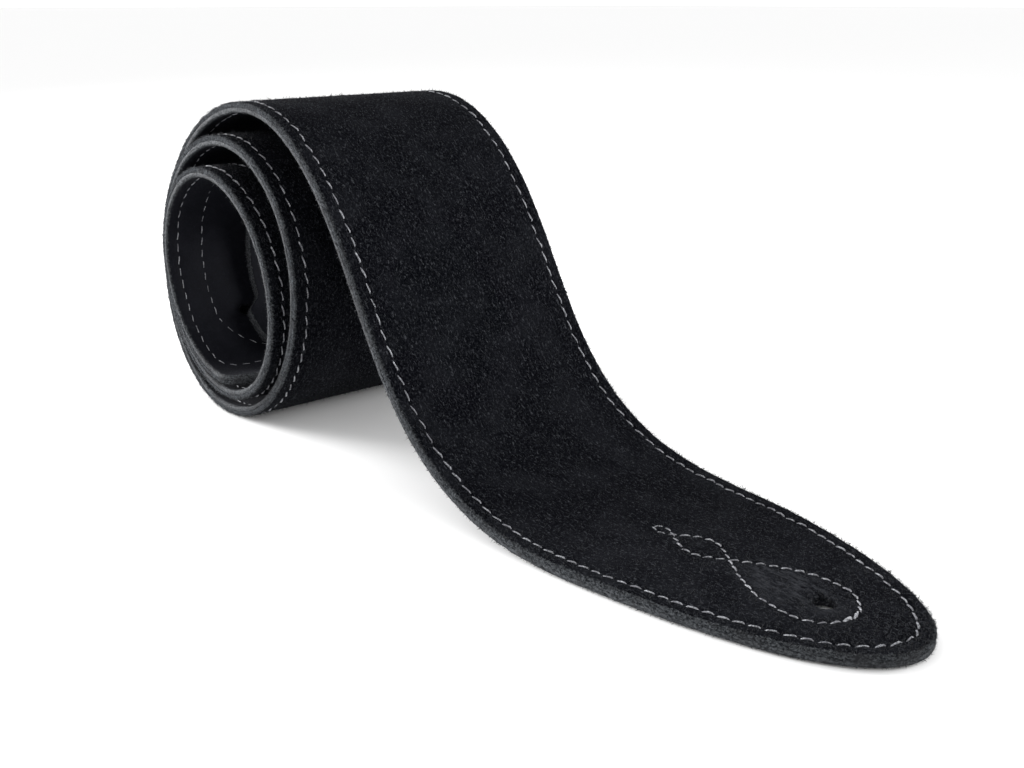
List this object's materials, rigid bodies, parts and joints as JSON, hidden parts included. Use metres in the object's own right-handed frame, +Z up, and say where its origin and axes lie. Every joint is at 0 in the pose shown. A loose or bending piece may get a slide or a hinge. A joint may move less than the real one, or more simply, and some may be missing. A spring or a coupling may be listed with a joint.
{
  "type": "guitar strap",
  "caption": "Suede strap of two stitched layers, rolled up with its button-hole end laid out flat and its narrow adjusting tail inside the roll.",
  "frame": {"origin": "centre of the underside of the rolled strap's bounding box, on the surface it lies on", "axes": "+X points from the roll to the tip of the front end, +Y runs along the roll's axis across the strap, +Z is up"},
  "size_m": [0.2414, 0.069, 0.0882],
  "materials": {
    "nap_suede": "napped suede",
    "backing_leather": "smooth matte",
    "grey_thread": "twisted thread"
  },
  "bodies": {
    "roll": {"face_leather_roll": "nap_suede", "backing_leather_roll": "backing_leather", "edge_needle_thread_roll": "grey_thread", "edge_bobbin_thread_roll": "grey_thread", "tail_slot_needle_thread": "grey_thread", "tail_slot_bobbin_thread": "grey_thread"},
    "front_end": {"face_leather_front": "nap_suede", "backing_leather_front": "backing_leather", "edge_needle_thread_front": "grey_thread", "edge_bobbin_thread_front": "grey_thread", "pin_hole_needle_thread": "grey_thread", "pin_hole_bobbin_thread": "grey_thread"}
  },
  "joints": [
    {"name": "front_end_lift", "type": "hinge", "parent": "roll", "child": "front_end", "pos_m": [0.04971, 0, 0.00348], "axis": [0, -1, 0], "range_deg": [0, 60]}
  ]
}
